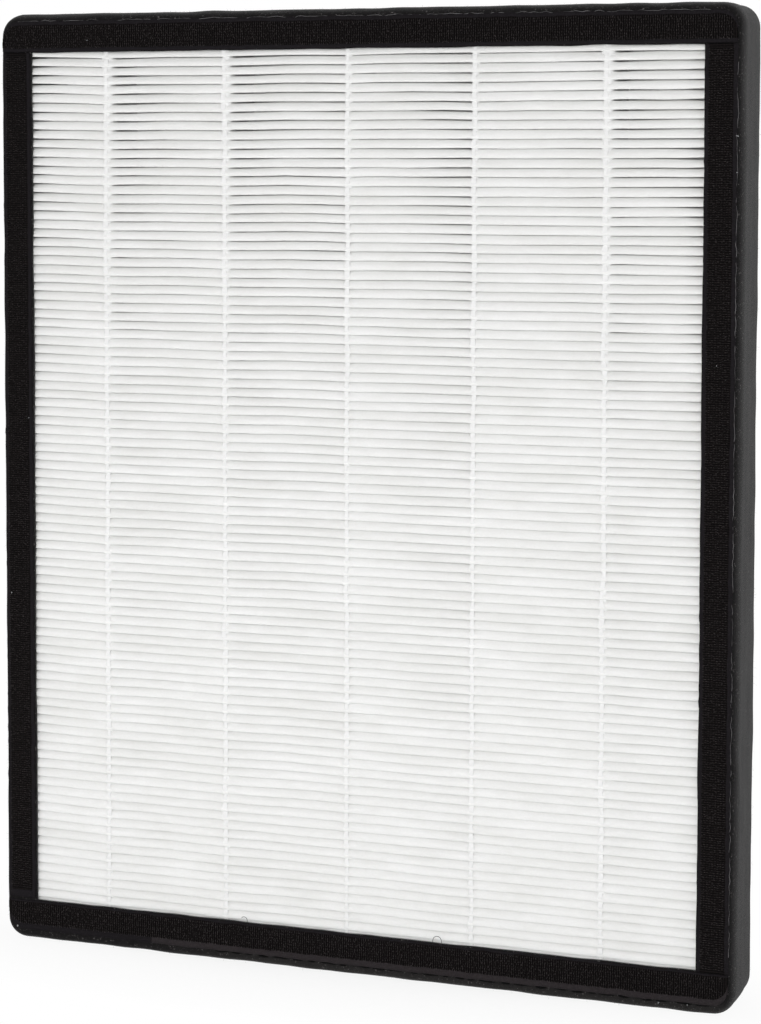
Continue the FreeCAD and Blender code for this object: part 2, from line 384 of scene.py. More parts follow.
@dataclass(frozen=True)
class AdhesiveFinish:
    """Poured adhesive: milky, with clouding where it soaked into the folds."""

    name: str = "seal_adhesive"
    low: Colour = (0.70, 0.68, 0.62)
    high: Colour = (0.83, 0.82, 0.78)
    cloud: float = 7.0
    ripple: float = 2.0

    def material(self) -> Material:
        """Make the adhesive.

        Returns:
            The material.
        """
        graph = NodeGraph(self.name)
        cloud = graph.noise(self.cloud, 4.0, 0.6)
        ripple = graph.noise(self.ripple, 2.0, 0.5, (1.0, 4.0, 1.0))
        return graph.surface(
            Base_Color=graph.shade(graph.spread(cloud, 0.3, 0.7), self.low, self.high),
            Roughness=graph.spread(ripple, 0.3, 0.7, 0.35, 0.6),
            Normal=graph.bump(ripple, 0.2),
        )


@dataclass(frozen=True)
class WovenFinish:
    """Black woven ribbon: weft rows across the strip and warp threads along it."""

    name: str
    run: Run
    dark: Colour
    light: Colour
    row: float
    thread: float = 0.55
    relief: float = 0.12
    wobble: float = 1.6

    def ripple(self, graph: NodeGraph, axis: Run, pitch: float) -> Socket:
        """Rounded threads one after another.

        Args:
            graph: the material being made.
            axis: the axis that the threads follow each other along.
            pitch: from thread to thread, in millimetres.

        Returns:
            A socket from 0 between threads to 1 on them.
        """
        place = graph.add("SeparateXYZ", Vector=graph.place()).outputs[axis.value]
        turns = graph.math("MULTIPLY", place, math.tau / pitch)
        turns = graph.math("MULTIPLY_ADD", graph.noise(2.5, 2.0), self.wobble, turns)
        return graph.spread(graph.math("SINE", turns), -1.0, 1.0)

    def material(self) -> Material:
        """Make the ribbon.

        Returns:
            The material.
        """
        graph = NodeGraph(self.name)
        other = Run.UP if self.run is Run.ACROSS else Run.ACROSS
        rows = self.ripple(graph, self.run, self.row)
        weave = graph.total((self.ripple(graph, other, self.thread), 0.4), (rows, 0.6))
        fuzz = graph.noise(0.7, 4.0, 0.75)
        tone = graph.total((weave, 0.4), (fuzz, 0.6))
        return graph.surface(
            Base_Color=graph.shade(graph.spread(tone, 0.38, 0.72), self.dark, self.light),
            Roughness=graph.spread(fuzz, 0.2, 0.8, 0.6, 0.9),
            Normal=graph.bump(fuzz, 0.06, graph.bump(weave, self.relief)),
            Specular_IOR_Level=0.03,
        )


@dataclass(frozen=True)
class YarnFinish:
    """Nylon yarn: hooks and loose fibres, with a slight gloss; it also colours the pale strand of painted
    edge highlight and the black dashes of painted gap shadow.
    """

    name: str
    dark: Colour
    light: Colour
    gloss: float = 0.45
    grain: float = 1.2

    def material(self) -> Material:
        """Make the yarn.

        Returns:
            The material.
        """
        graph = NodeGraph(self.name)
        change = graph.noise(self.grain, 4.0, 0.7)
        return graph.surface(
            Base_Color=graph.shade(graph.spread(change, 0.38, 0.68), self.dark, self.light),
            Roughness=graph.spread(change, 0.3, 0.7, self.gloss, self.gloss + 0.2),
            Normal=graph.bump(graph.noise(self.grain / 6.0), 0.03),
            Specular_IOR_Level=0.06,
        )


@dataclass(frozen=True)
class FloorFinish:
    """Studio paper: white to the camera, with the object's soft shadow near its foot."""

    name: str = "studio_paper"
    low: Colour = (0.9, 0.9, 0.9)
    high: Colour = (0.93, 0.93, 0.93)
    tooth: float = 3.0
    spread_across: float = 3.6
    fade_start: float = 22.0
    fade_end: float = 80.0
    shadow_share: float = 0.12

    def material(self) -> Material:
        """Make the paper.

        Returns:
            The material.
        """
        graph = NodeGraph(self.name)
        tooth = graph.noise(self.tooth)
        colour = graph.shade(tooth, self.low, self.high)
        paper = graph.add("BsdfDiffuse", Color=colour, Normal=graph.bump(tooth, 0.05))
        glow = graph.add("Emission", Color=(1.0, 1.0, 1.0), Strength=1.0)
        place = graph.add("VectorMath", Vector=graph.place((self.spread_across, 1.0, 1.0)))
        place.operation = "LENGTH"
        away = place.outputs["Value"]
        far = graph.spread(away, self.fade_start, self.fade_end, 1.0 - self.shadow_share, 1.0)
        share = graph.math("MULTIPLY", graph.seen(), far)
        shader = graph.mix(share, paper.outputs["BSDF"], glow.outputs["Emission"])
        graph.add("OutputMaterial", Surface=shader)
        return graph.owner


@dataclass(frozen=True)
class Waves:
    """Smooth unevenness: a sum of sine waves with seeded directions, lengths and phases."""

    seed: int
    height: float
    shortest: float
    longest: float
    count: int = 14

    def at(self, points: Array) -> Array:
        """The unevenness at points.

        Args:
            points: an array whose last axis holds the coordinates in millimetres.

        Returns:
            One value per point, mostly within the height.
        """
        random = np.random.default_rng(self.seed)
        axes = points.shape[-1]
        ways = random.normal(size=(self.count, axes))
        ways /= np.linalg.norm(ways, axis=1, keepdims=True)
        lengths = np.exp(random.uniform(math.log(self.shortest), math.log(self.longest), self.count))
        phases = random.uniform(0.0, math.tau, self.count)
        turns = points @ (ways * (math.tau / lengths)[:, None]).T + phases
        return np.sin(turns).sum(axis=-1) * self.height * math.sqrt(2.0 / self.count)

    def shift(self, points: Array) -> Array:
        """Points, whose last axis holds X, Y and Z, moved unevenly along each of them."""
        moves = [replace(self, seed=self.seed + i).at(points) for i in range(points.shape[-1])]
        return points + np.stack(moves, axis=-1)


class MeshDraft:
    """Points and faces gathered from patches until one object is made."""

    def __init__(self) -> None:
        """Start an empty draft."""
        self.points: list[Array] = []
        self.faces: list[Array] = []
        self.finishes: list[Array] = []
        self.count = 0

    def add_grid(
        self,
        points: Array,
        close_rows: bool = False,
        close_columns: bool = False,
        finish: Array | int = 0,
    ) -> None:
        """Add one grid of points, or a stack of equal grids, as quads.

        Args:
            points: an array of rows, columns and coordinates, with any axes in front as a stack.
            close_rows: join the last row to the first.
            close_columns: join the last column to the first.
            finish: the number of the finish, for all faces or for each one by row and column.
        """
        rows, columns = points.shape[-3], points.shape[-2]
        stack = points.reshape(-1, rows, columns, 3)
        index = np.arange(len(stack) * rows * columns).reshape(len(stack), rows, columns)
        index = index + self.count
        if close_rows:
            index = np.concatenate([index, index[:, :1]], axis=1)
        if close_columns:
            index = np.concatenate([index, index[:, :, :1]], axis=2)
        corners = [index[:, :-1, :-1], index[:, :-1, 1:], index[:, 1:, 1:], index[:, 1:, :-1]]
        quads = np.stack(corners, axis=-1)
        self.points.append(stack.reshape(-1, 3))
        self.faces.append(quads.reshape(-1, 4))
        self.finishes.append(np.broadcast_to(finish, quads.shape[:-1]).reshape(-1))
        self.count += stack.shape[0] * rows * columns

    def add_tubes(self, paths: Array, radius: Array | float, side: Array | Triple, sides: int) -> None:
        """Add a tube round each of many paths.

        Args:
            paths: strands, points and coordinates.
            radius: one radius, or one for each strand and point.
            side: a unit vector square to the paths.
            sides: corners of a tube's section.
        """
        along = np.gradient(paths, axis=1)
        along /= np.linalg.norm(along, axis=-1, keepdims=True) + 1e-12
        first = np.broadcast_to(side, paths.shape)
        second = np.cross(along, first)
        turn = np.arange(sides) * math.tau / sides
        ring = first[:, :, None, :] * np.cos(turn)[:, None] + second[:, :, None, :] * np.sin(turn)[:, None]
        size = np.broadcast_to(radius, paths.shape[:2])[..., None, None]
        self.add_grid(paths[:, :, None, :] + ring * size, False, True)

    def make(self, name: str, *finishes: Material) -> Piece:
        """Make the object, in metres, with smooth shading.

        Args:
            name: the object's name.
            *finishes: its materials, in the order that the faces number them.

        Returns:
            The new object, linked to the scene.
        """
        mesh = bpy.data.meshes.new(name)
        points = np.concatenate(self.points) * MM
        faces = np.concatenate(self.faces)
        mesh.from_pydata(points.tolist(), [], faces.tolist())
        mesh.polygons.foreach_set("material_index", np.concatenate(self.finishes).astype(np.int32))
        mesh.polygons.foreach_set("use_smooth", np.full(len(faces), True))
        for material in finishes:
            mesh.materials.append(material)
        tidy = bmesh.new()
        tidy.from_mesh(mesh)
        bmesh.ops.recalc_face_normals(tidy, faces=tidy.faces)
        tidy.to_mesh(mesh)
        tidy.free()
        piece = bpy.data.objects.new(name, mesh)
        bpy.context.scene.collection.objects.link(piece)
        return piece

    def fit(self, name: str, slot: Slot, *finishes: Material, node: str = "") -> Piece:
        """Make a piece of the filter, hang it on the frame and report it.

        Args:
            name: the piece's name.
            slot: the record's slot; not used.
            *finishes: its materials, in the order that the faces number them.
            node: the CAD node that it stands for, if any.

        Returns:
            The piece.
        """
        piece = self.make(name, *finishes)
        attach(piece, BODY)
        if node:
            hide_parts(node)
        log.info("%s: %d faces", piece.name, len(piece.data.polygons))
        return piece


@dataclass(frozen=True)
class Outline:
    """A rectangle with rounded corners, seen from the front."""

    left: float
    right: float
    bottom: float
    top: float
    radius: float

    def inset(self, depth: float) -> "Outline":
        """The same outline, moved in by a depth on every side."""
        radius = max(self.radius - depth, 0.4)
        return Outline(self.left + depth, self.right - depth, self.bottom + depth, self.top - depth, radius)

    def towards(self, other: "Outline", share: float) -> "Outline":
        """An outline that is some share of the way to another one."""
        return Outline(*(a + (b - a) * share for a, b in zip(astuple(self), astuple(other))))

    def ring(self, y: float) -> Array:
        """Points round the outline, from the right top corner to the left.

        Args:
            y: its depth.

        Returns:
            Points and coordinates.
        """
        r = self.radius
        centres = [
            (self.right - r, self.top - r),
            (self.left + r, self.top - r),
            (self.left + r, self.bottom + r),
            (self.right - r, self.bottom + r),
        ]
        arcs = []
        for number, (x, z) in enumerate(centres):
            angles = (number + np.linspace(0.0, 1.0, STEPS_ROUND_CORNER + 1)) * math.pi / 2
            arcs.append(np.stack([x + r * np.cos(angles), z + r * np.sin(angles)], axis=-1))
        parts = []
        for number, arc in enumerate(arcs):
            following = arcs[(number + 1) % len(arcs)]
            steps = STEPS_ACROSS if number % 2 == 0 else STEPS_UP
            parts += [arc, np.linspace(arc[-1], following[0], steps + 1)[1:-1]]
        flat = np.concatenate(parts)
        return np.stack([flat[:, 0], np.full(len(flat), y), flat[:, 1]], axis=-1)


@dataclass
class Panel:
    """The filter's main sizes, as in its CAD model."""

    width: float = 325.5
    height: float = 405.0
    corner_radius: float = 9.5
    front_y: float = -15.25
    back_y: float = 16.75
    side_border: float = 15.65
    top_border: float = 16.75
    bottom_border: float = 18.35
    bead_x: tuple[float, ...] = (-113.0, -58.0, -3.0, 52.0, 107.0)

    @property
    def outside(self) -> Outline:
        """The frame's outline."""
        half = self.width / 2
        return Outline(-half, half, 0.0, self.height, self.corner_radius)

    @property
    def window(self) -> Outline:
        """The front window's outline."""
        half = self.width / 2 - self.side_border
        return Outline(-half, half, self.bottom_border, self.height - self.top_border, 0.4)


@dataclass
class FeltFrame:
    """The moulded felt shell, the ring in its back, and the loose fibres that stand off both."""

    panel: Panel
    wall: float = 1.8
    flange: float = 1.2
    front_round: float = 3.2
    round_depth: float = 7.5
    back_bevel: float = 0.8
    inner_bevel: float = 1.2
    cut_edge: float = 0.25
    ring_border: float = 14.0
    ring_thickness: float = 1.2
    ring_clearance: float = 0.15
    unevenness: float = 0.10
    fibre_count: int = 15000
    fibre_shares: Pair = (0.85, 0.15)
    fibre_length: Pair = (0.5, 1.6)
    fibre_lift: Pair = (0.15, 0.7)
    fibre_width: float = 0.045
    fibre_floor: float = 0.3
    seed: int = 21
    felt: FeltFinish = FeltFinish()
    yarn: YarnFinish = YarnFinish("felt_fibre", (0.03, 0.03, 0.03), (0.11, 0.105, 0.10), 0.7)

    def shell_rings(self) -> Array:
        """Rings round the shell, from its window's back edge out over the front and in at the back.

        Returns:
            Rings, points and coordinates.
        """
        outside, window = self.panel.outside, self.panel.window
        front, back, edge = self.panel.front_y, self.panel.back_y, self.cut_edge
        flange_back = front + self.flange
        rings = [window.ring(flange_back), window.ring(front + edge)]
        rings.append(window.inset(-edge * 0.3).ring(front + edge * 0.3))
        lip, brim = window.inset(-edge), outside.inset(self.front_round)
        rings += [lip.towards(brim, share).ring(front) for share in np.linspace(0.0, 1.0, 8)]
        for turn in np.linspace(0.0, math.pi / 2, 9)[1:]:
            inset = self.front_round * (1.0 - math.sin(turn))
            rings.append(outside.inset(inset).ring(front + self.round_depth * (1.0 - math.cos(turn))))
        wall_end = back - self.back_bevel
        rings += [outside.ring(y) for y in np.linspace(front + self.round_depth, wall_end, 14)[1:]]
        for turn in np.linspace(0.0, math.pi / 2, 4)[1:]:
            inset = self.back_bevel * (1.0 - math.cos(turn))
            rings.append(outside.inset(inset).ring(wall_end + self.back_bevel * math.sin(turn)))
        inner = outside.inset(self.wall)
        rings.append(outside.inset((self.back_bevel + self.wall) / 2).ring(back))
        rings += [inner.ring(y) for y in np.linspace(back, flange_back + self.inner_bevel, 5)]
        rings.append(outside.inset(self.wall + self.inner_bevel).ring(flange_back))
        return np.stack(rings)

    def back_rings(self) -> Array:
        """Rings round the flat ring in the back, with soft cut edges.

        Returns:
            Rings, points and coordinates.
        """
        outer = self.panel.outside.inset(self.wall + self.ring_clearance)
        half = self.panel.width / 2 - self.ring_border
        inner = Outline(-half, half, self.ring_border, self.panel.height - self.ring_border, 0.4)
        back, front, soft = self.panel.back_y, self.panel.back_y - self.ring_thickness, self.cut_edge
        rim, brim = outer.inset(soft), inner.inset(-soft)
        rings = [outer.ring(front), outer.ring(back - soft), rim.ring(back)]
        rings += [rim.towards(brim, share).ring(back) for share in (0.25, 0.5, 0.75, 1.0)]
        return np.stack([*rings, inner.ring(back - soft), inner.ring(front)])

    def build_fibres(self, *pieces: Piece) -> None:
        """Short fibres that stand off the felt, apart from inside the shell.

        Args:
            *pieces: the felt pieces that they grow from.
        """
        random = np.random.default_rng(self.seed + 11)
        half_width, height = self.panel.width / 2, self.panel.height
        roots, normals = [], []
        for piece, share in zip(pieces, self.fibre_shares):
            mesh = piece.data
            areas = np.array([face.area for face in mesh.polygons])
            centres = np.array([face.center for face in mesh.polygons]) / MM
            facing = np.array([face.normal for face in mesh.polygons])
            inside = (np.abs(centres[:, 0]) < half_width - 1.0) & (np.abs(facing[:, 1]) < 0.5)
            areas[inside & (centres[:, 2] > 1.0) & (centres[:, 2] < height - 1.0)] = 0.0
            chosen = random.choice(len(areas), int(self.fibre_count * share), p=areas / areas.sum())
            roots.append(centres[chosen])
            normals.append(facing[chosen])
        root, normal = np.concatenate(roots), np.concatenate(normals)
        count = len(root)
        root = root + random.normal(size=(count, 3)) * 0.9 * (1.0 - np.abs(normal))
        low_corner = (-half_width, self.panel.front_y, self.fibre_floor)
        root = np.clip(root, low_corner, (half_width, self.panel.back_y, height))
        lean = random.normal(size=(count, 3))
        lean -= (lean * normal).sum(axis=1, keepdims=True) * normal
        lean /= np.linalg.norm(lean, axis=1, keepdims=True)
        length = random.uniform(*self.fibre_length, size=(count, 1))
        lift = random.uniform(*self.fibre_lift, size=(count, 1))
        steps = np.linspace(0.0, 1.0, 4)[None, :, None]
        curl = np.sin(steps * math.pi / 2 * 1.3)
        path = root[:, None] + length[:, None] * (
            lean[:, None] * steps + normal[:, None] * lift[:, None] * (curl - 0.15)
        )
        side = np.cross(lean, normal)
        half = self.fibre_width / 2 * (1.0 - 0.6 * steps)
        draft = MeshDraft()
        draft.add_grid(np.stack([path - side[:, None] * half, path + side[:, None] * half], axis=2))
        draft.fit("felt_fibres", Slot.FELT, self.yarn.material())

    def build(self) -> None:
        """Build and dress the whole frame."""
        felt = self.felt.material()
        shell_waves = Waves(self.seed, self.unevenness, 9.0, 60.0)
        ring_waves = Waves(self.seed + 7, self.unevenness / 2, 9.0, 50.0)
        shell, ring = MeshDraft(), MeshDraft()
        shell.add_grid(shell_waves.shift(self.shell_rings()), True, True)
        ring.add_grid(ring_waves.shift(self.back_rings()), True, True)
        self.build_fibres(
            shell.fit("felt_shell", Slot.FELT, felt, node="frame_shell"),
            ring.fit("felt_ring", Slot.FELT, felt, node="back_ring"),
        )


@dataclass
class PleatedPack:
    """The folded media and the hot melt that holds its folds apart.

    The folds are numbered from the foot up, a front one and a rear one in turn, and set out at
    stations across the pack. Each curve holds places and the values there: sag goes by X, mouth_gap
    and mouth_depth by Z, and a profile from a fold's low side to its high side.
    """

    panel: Panel
    half_width: float = 158.55
    bottom: float = 4.2
    top: float = 400.8
    front_crest: float = -13.55
    rear_crest: float = 15.05
    pitch: float = 3.85
    thickness: float = 0.5
    fold_half: float = 1.4
    lean: float = 0.9
    hollow: float = 1.75
    jitter: float = 0.10
    drift: float = 0.11
    wave_stretch: float = 2.2
    least_gap: float = 0.03
    sag: Curve = (
        (-160.0, -142.0, -113.0, -104.0, -88.0, -58.0, -46.0, -28.0, -3.0, 10.0, 52.0, 107.0, 160.0),
        (0.30, 0.25, -0.35, -0.25, -0.08, -0.35, -0.22, 0.10, -0.10, 0.02, -0.15, -0.05, 0.05),
    )
    mouth_gap: Curve = ((0.0, 100.0, 220.0, 285.0, 345.0, 400.0), (0.06, 0.075, 0.12, 0.18, 0.245, 0.33))
    mouth_depth: Curve = ((0.0, 100.0, 220.0, 345.0, 400.0), (0.85, 0.86, 0.88, 0.98, 1.10))
    front_profile: Curve = (
        (-1.0, -1.0, -0.955, -0.86, -0.60, -0.25, 0.10, 0.45, 0.75, 1.0),
        (0.90, 0.42, 0.17, 0.04, 0.0, 0.03, 0.12, 0.36, 0.68, 1.0),
    )
    rear_profile: Curve = (
        (-1.0, -0.9, -0.5, 0.0, 0.5, 0.9, 1.0),
        (0.95, 0.36, 0.05, 0.0, 0.05, 0.36, 0.95),
    )
    inner_profile: Curve = ((-1.0, 0.0, 1.0), (0.8, 0.0, 0.8))
    left_reach: tuple[float, ...] = (3.0, 2.2, 1.8, 1.8, 3.0)
    right_reach: tuple[float, ...] = (5.5, 4.5, 3.0, 3.0, 5.0)
    seed: int = 5
    media: MediaFinish = MediaFinish()
    hot_melt: HotMeltFinish = HotMeltFinish()
    adhesive: AdhesiveFinish = AdhesiveFinish()

    def __post_init__(self) -> None:
        """Work out the stations across the pack and every fold's place at each of them."""
        random = np.random.default_rng(self.seed)
        span = self.top - self.bottom - 2 * self.fold_half
        front_count = round(span / self.pitch) + 1
        step = span / (front_count - 1) / 2
        self.stations = self.station_places()
        number = np.arange(2 * front_count - 1)
        self.is_front = number % 2 == 0
        centre = self.bottom + self.fold_half + number * step
        centre = centre + random.normal(size=len(number)) * self.jitter
        centre = centre + np.where(self.is_front, 0.0, self.lean)
        x = np.broadcast_to(self.stations[:, None], (len(self.stations), len(number)))
        z = np.broadcast_to(centre, x.shape)
        where = np.stack([x / self.wave_stretch, z], axis=-1)
        self.centre = z + Waves(self.seed + 1, self.drift, 6.0, 45.0, 24).at(where)
        self.centre += np.interp(self.stations, *self.sag)[:, None]
        self.lower, self.upper = np.full_like(z, self.fold_half), np.full_like(z, self.fold_half)
        near = np.flatnonzero(self.is_front)
        below, above = near[:-1], near[1:]
        mouth = (self.centre[:, below] + self.centre[:, above]) / 2
        pinch = self.pinch(self.stations)[:, None]
        gap = np.interp(mouth, *self.mouth_gap) * pinch
        gap = gap * (1.0 + Waves(self.seed + 2, 0.30, 9.0, 40.0, 24).at(where[:, above]))
        gap = np.maximum(gap, self.least_gap)
        self.upper[:, below] = mouth - gap / 2 - self.centre[:, below]
        self.lower[:, above] = self.centre[:, above] - mouth - gap / 2
        self.depth = self.hollow * (0.75 + 0.25 * pinch) * np.interp(z, *self.mouth_depth)
        depth = Waves(self.seed + 3, 0.10, 7.0, 50.0, 24).at(where)
        front = np.maximum(self.front_crest + depth, self.front_crest - 0.15)
        self.crest = np.where(self.is_front, front, self.rear_crest + np.minimum(depth, 0.1))

    def station_places(self) -> Array:
        """Places across the pack where the folds are set out: close at the beads, wide between them.

        Returns:
            Their X, from left to right.
        """
        beads = self.panel.bead_x
        places = [-self.half_width, -151.0, -146.5, -138.0, -127.0]
        for number, x in enumerate(beads):
            places += [x - self.left_reach[number], x, x + self.right_reach[number]]
            if number + 1 < len(beads):
                places += [x + (beads[number + 1] - x) * share for share in (0.25, 0.5, 0.75)]
        places += [119.0, 130.0, 139.0, 143.5, 147.5, self.half_width]
        return np.array(places)

    def pinch(self, x: Array) -> Array:
        """How far the front folds stand open across the pack: the beads pinch them on one side.

        Args:
            x: places across the pack.

        Returns:
            Shares of the usual gap between folds.
        """
        a, b, c, d, e = self.panel.bead_x
        left, right, shut = self.left_reach, self.right_reach, 0.35
        marks = [
            (-self.half_width, 2.6), (a - 20.0, 1.0), (a, shut), (a + right[0], 1.8), (a + 20.0, 1.2),
            (b - left[1], 0.6), (b, shut), (b + right[1], 1.8), (b + 25.0, 1.2),
            (c - left[2], 1.2), (c, shut), (c + right[2], 0.5),
            (d - 20.0, 1.2), (d - left[3], 1.7), (d, shut), (d + right[3], 0.55),
            (e - left[4], 0.75), (e, shut), (e + right[4], 1.7), (e + 20.0, 1.15),
            (e + 32.0, 1.2), (e + 40.0, 2.6), (self.half_width, 2.8),
        ]
        return np.interp(x, *zip(*marks))

    def turn(self, fold: int, outside: bool) -> Array:
        """Points round one fold at every station, from low to high.

        Args:
            fold: its number.
            outside: whether this is the sheet's outer side there.

        Returns:
            Stations, points and coordinates.
        """
        front = bool(self.is_front[fold])
        profile = self.inner_profile
        if outside:
            profile = self.front_profile if front else self.rear_profile
        across, behind = np.array(profile)
        behind = np.broadcast_to(behind, (len(self.stations), len(behind)))
        if front:
            behind = np.where(across > 0.0, behind * self.depth[:, fold, None], behind)
        skin = 0.0 if outside else self.thickness
        half = np.where(across < 0.0, self.lower[:, fold, None], self.upper[:, fold, None]) - skin
        z = self.centre[:, fold, None] + half * across
        y = self.crest[:, fold, None] + (1.0 if front else -1.0) * (behind + skin)
        return np.stack([np.broadcast_to(self.stations[:, None], z.shape), y, z], axis=-1)

    def side(self, outer_is_front: bool) -> Array:
        """Points up one side of the sheet at every station.

        Args:
            outer_is_front: whether this side is outside at the front folds.

        Returns:
            Stations, points and coordinates.
        """
        parts = [self.turn(fold, front == outer_is_front) for fold, front in enumerate(self.is_front)]
        first, last = parts[0][:, :1].copy(), parts[-1][:, -1:].copy()
        first[..., 1] = last[..., 1] = self.rear_crest
        return np.concatenate([first, *parts, last], axis=1)

    def end_cap(self, station: int) -> Array:
        """The sheet's cut edge at one end of the folds.

        Args:
            station: the station there.

        Returns:
            Two rows of points and coordinates, the front side's and the back side's.
        """
        parts = []
        for fold, front in enumerate(self.is_front):
            outer, inner = self.turn(fold, True)[station], self.turn(fold, False)[station]
            share = np.linspace(0.0, len(inner) - 1.0, len(outer))
            inner = np.stack([np.interp(share, np.arange(len(inner)), axis) for axis in inner.T], axis=-1)
            parts.append(np.stack([outer, inner] if front else [inner, outer]))
        return np.concatenate(parts, axis=1)

    def build_media(self) -> None:
        """The folded sheet, closed all round."""
        draft = MeshDraft()
        draft.add_grid(np.concatenate([self.side(True), self.side(False)[:, ::-1]], axis=1), False, True)
        for station in (0, -1):
            draft.add_grid(self.end_cap(station))
        draft.fit("folded_media", Slot.MEDIA, self.media.material(), node="pleated_media")

    def build_beads(self) -> None:
        """Every row of hot melt, front and back, each one piece."""
        hot_melt = self.hot_melt.material()
        for number in range(len(self.panel.bead_x)):
            for at_front in (True, False):
                GlueBead(self, number, at_front).build(hot_melt)

    def dress_seal(self) -> None:
        """Give the poured seal its finish; its shape stays the CAD model's."""
        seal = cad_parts["potting_seal"]
        seal.data.materials.clear()
        seal.data.materials.append(self.adhesive.material())
        log.info("potting_seal: kept")

    def build(self) -> None:
        """Build and dress the whole pack."""
        self.build_media()
        self.build_beads()
        self.dress_seal()


@dataclass
class GlueBead:
    """One row of hot melt: a strand over the folds' crests, and webs down between their leaves.

    web_spread holds heights on the pack, and the shares of its width that a web has there.
    """

    pack: PleatedPack
    number: int
    at_front: bool
    web_halves: tuple[float, ...] = (2.1, 2.0, 1.5, 1.5, 2.2)
    rear_web_half: float = 0.8
    web_spread: Curve = ((0.0, 250.0, 330.0, 400.0), (0.60, 0.65, 0.90, 1.10))
    web_profile: Curve = (
        (-1.0, -1.05, -0.8, -0.45, 0.0, 0.45, 0.8, 1.05, 1.0),
        (0.0, 1.5, 0.7, 0.15, 0.0, 0.15, 0.7, 1.5, 0.0),
    )
    web_sink: Pair = (0.08, 0.32)
    web_share: Pair = (0.8, 1.15)
    web_foot: float = 1.2
    web_dimple: float = 0.10
    strand_half: float = 1.0
    strand_sink: float = 0.35
    strand_foot: float = 0.35
    seed: int = 5

    def __post_init__(self) -> None:
        """Find the bead's station on the pack, the folds that it crosses and the way that it faces."""
        self.x = self.pack.panel.bead_x[self.number]
        self.station = int(np.argmin(np.abs(self.pack.stations - self.x)))
        self.folds = np.flatnonzero(self.pack.is_front == self.at_front)
        self.facing = 1.0 if self.at_front else -1.0

    def strand(self) -> Array:
        """The bead itself: a flattened strand over the crests that sinks in between them.

        Returns:
            Rows round the strand, points and coordinates.
        """
        crests = self.pack.centre[self.station, self.folds]
        z = np.linspace(crests[0] - 1.0, crests[-1] + 1.0, len(crests) * 6)
        away = np.min(np.abs(z[:, None] - crests), axis=1)
        sink = np.clip((away - 0.8) / 0.9, 0.0, 1.0) ** 1.5
        place = np.stack([np.full_like(z, self.x), z], axis=-1)
        swell = Waves(self.seed + 20 + self.number, 0.16, 3.0, 18.0).at(place)
        half = self.strand_half + swell - 0.15 * sink
        middle = self.x + Waves(self.seed + 40 + self.number, 0.22, 12.0, 70.0).at(place)
        height = 0.04 + 0.08 * swell
        level = np.interp(z, crests, self.pack.crest[self.station, self.folds])
        level = level + self.facing * (0.03 + self.strand_sink * sink)
        turn = np.linspace(0.0, math.pi, 7)
        around_x = np.concatenate([np.cos(turn), [-0.6, 0.6]])
        around_y = np.concatenate([-np.sin(turn), [0.0, 0.0]])
        lift = np.concatenate([np.zeros(len(turn)), [self.strand_foot] * 2])
        across = middle[:, None] + half[:, None] * around_x
        y = level[:, None] + self.facing * (height[:, None] * around_y + lift)
        return np.stack([across, y, np.broadcast_to(z[:, None], y.shape)], axis=-1)

    def webs(self) -> Array:
        """Hot melt between neighbouring leaves, where the bead runs down into the folds.

        Returns:
            A stack of webs, each with its rows, points and coordinates.
        """
        pack = self.pack
        random = np.random.default_rng([self.seed, self.number, self.at_front])
        width = self.web_halves[self.number] if self.at_front else self.rear_web_half
        grids = (pack.lower, pack.upper, pack.centre, pack.crest)
        lower, upper, centre, crest = (grid[self.station] for grid in grids)
        offsets, fall = np.array(self.web_profile)
        is_deep = np.zeros(len(fall))
        is_deep[[0, -1]] = 1.0
        rows = []
        for low, high in zip(self.folds[:-1], self.folds[1:]):
            deep = low + 1
            crotch = (lower[deep] + upper[deep]) / 2 - pack.thickness + 0.12
            mouth = (centre[low] + upper[low] * 0.1, centre[high] - lower[high] * 0.93)
            base = (centre[deep] - crotch, centre[deep] + crotch)
            lip = (crest[low] + crest[high]) / 2
            lip += self.facing * random.uniform(*self.web_sink)
            half = width * random.uniform(*self.web_share) * np.interp(mouth[1], *self.web_spread)
            middle = self.x + random.uniform(-0.2, 0.2) + 0.15 * half
            y = lip + self.facing * fall
            y[[0, -1]] = crest[deep] - self.facing * self.web_foot
            for share, dimple in ((0.0, 0.0), (0.5, self.web_dimple), (1.0, 0.0)):
                front_z = mouth[0] + (mouth[1] - mouth[0]) * share
                back_z = base[0] + (base[1] - base[0]) * share
                z = front_z + (back_z - front_z) * is_deep
                dented = y + self.facing * dimple * (1.0 - is_deep)
                rows.append(np.stack([middle + half * offsets, dented, z], axis=-1))
        return np.array(rows).reshape(-1, 3, len(fall), 3)

    def build(self, hot_melt: Material) -> None:
        """Build and dress the bead.

        Args:
            hot_melt: its material.
        """
        draft = MeshDraft()
        draft.add_grid(self.strand(), False, True)
        draft.add_grid(self.webs())
        word, number = "front" if self.at_front else "rear", self.number + 1
        draft.fit(f"{word}_hot_melt_{number}", Slot.HOT_MELT, hot_melt, node=f"{word}_glue_bead_{number}")


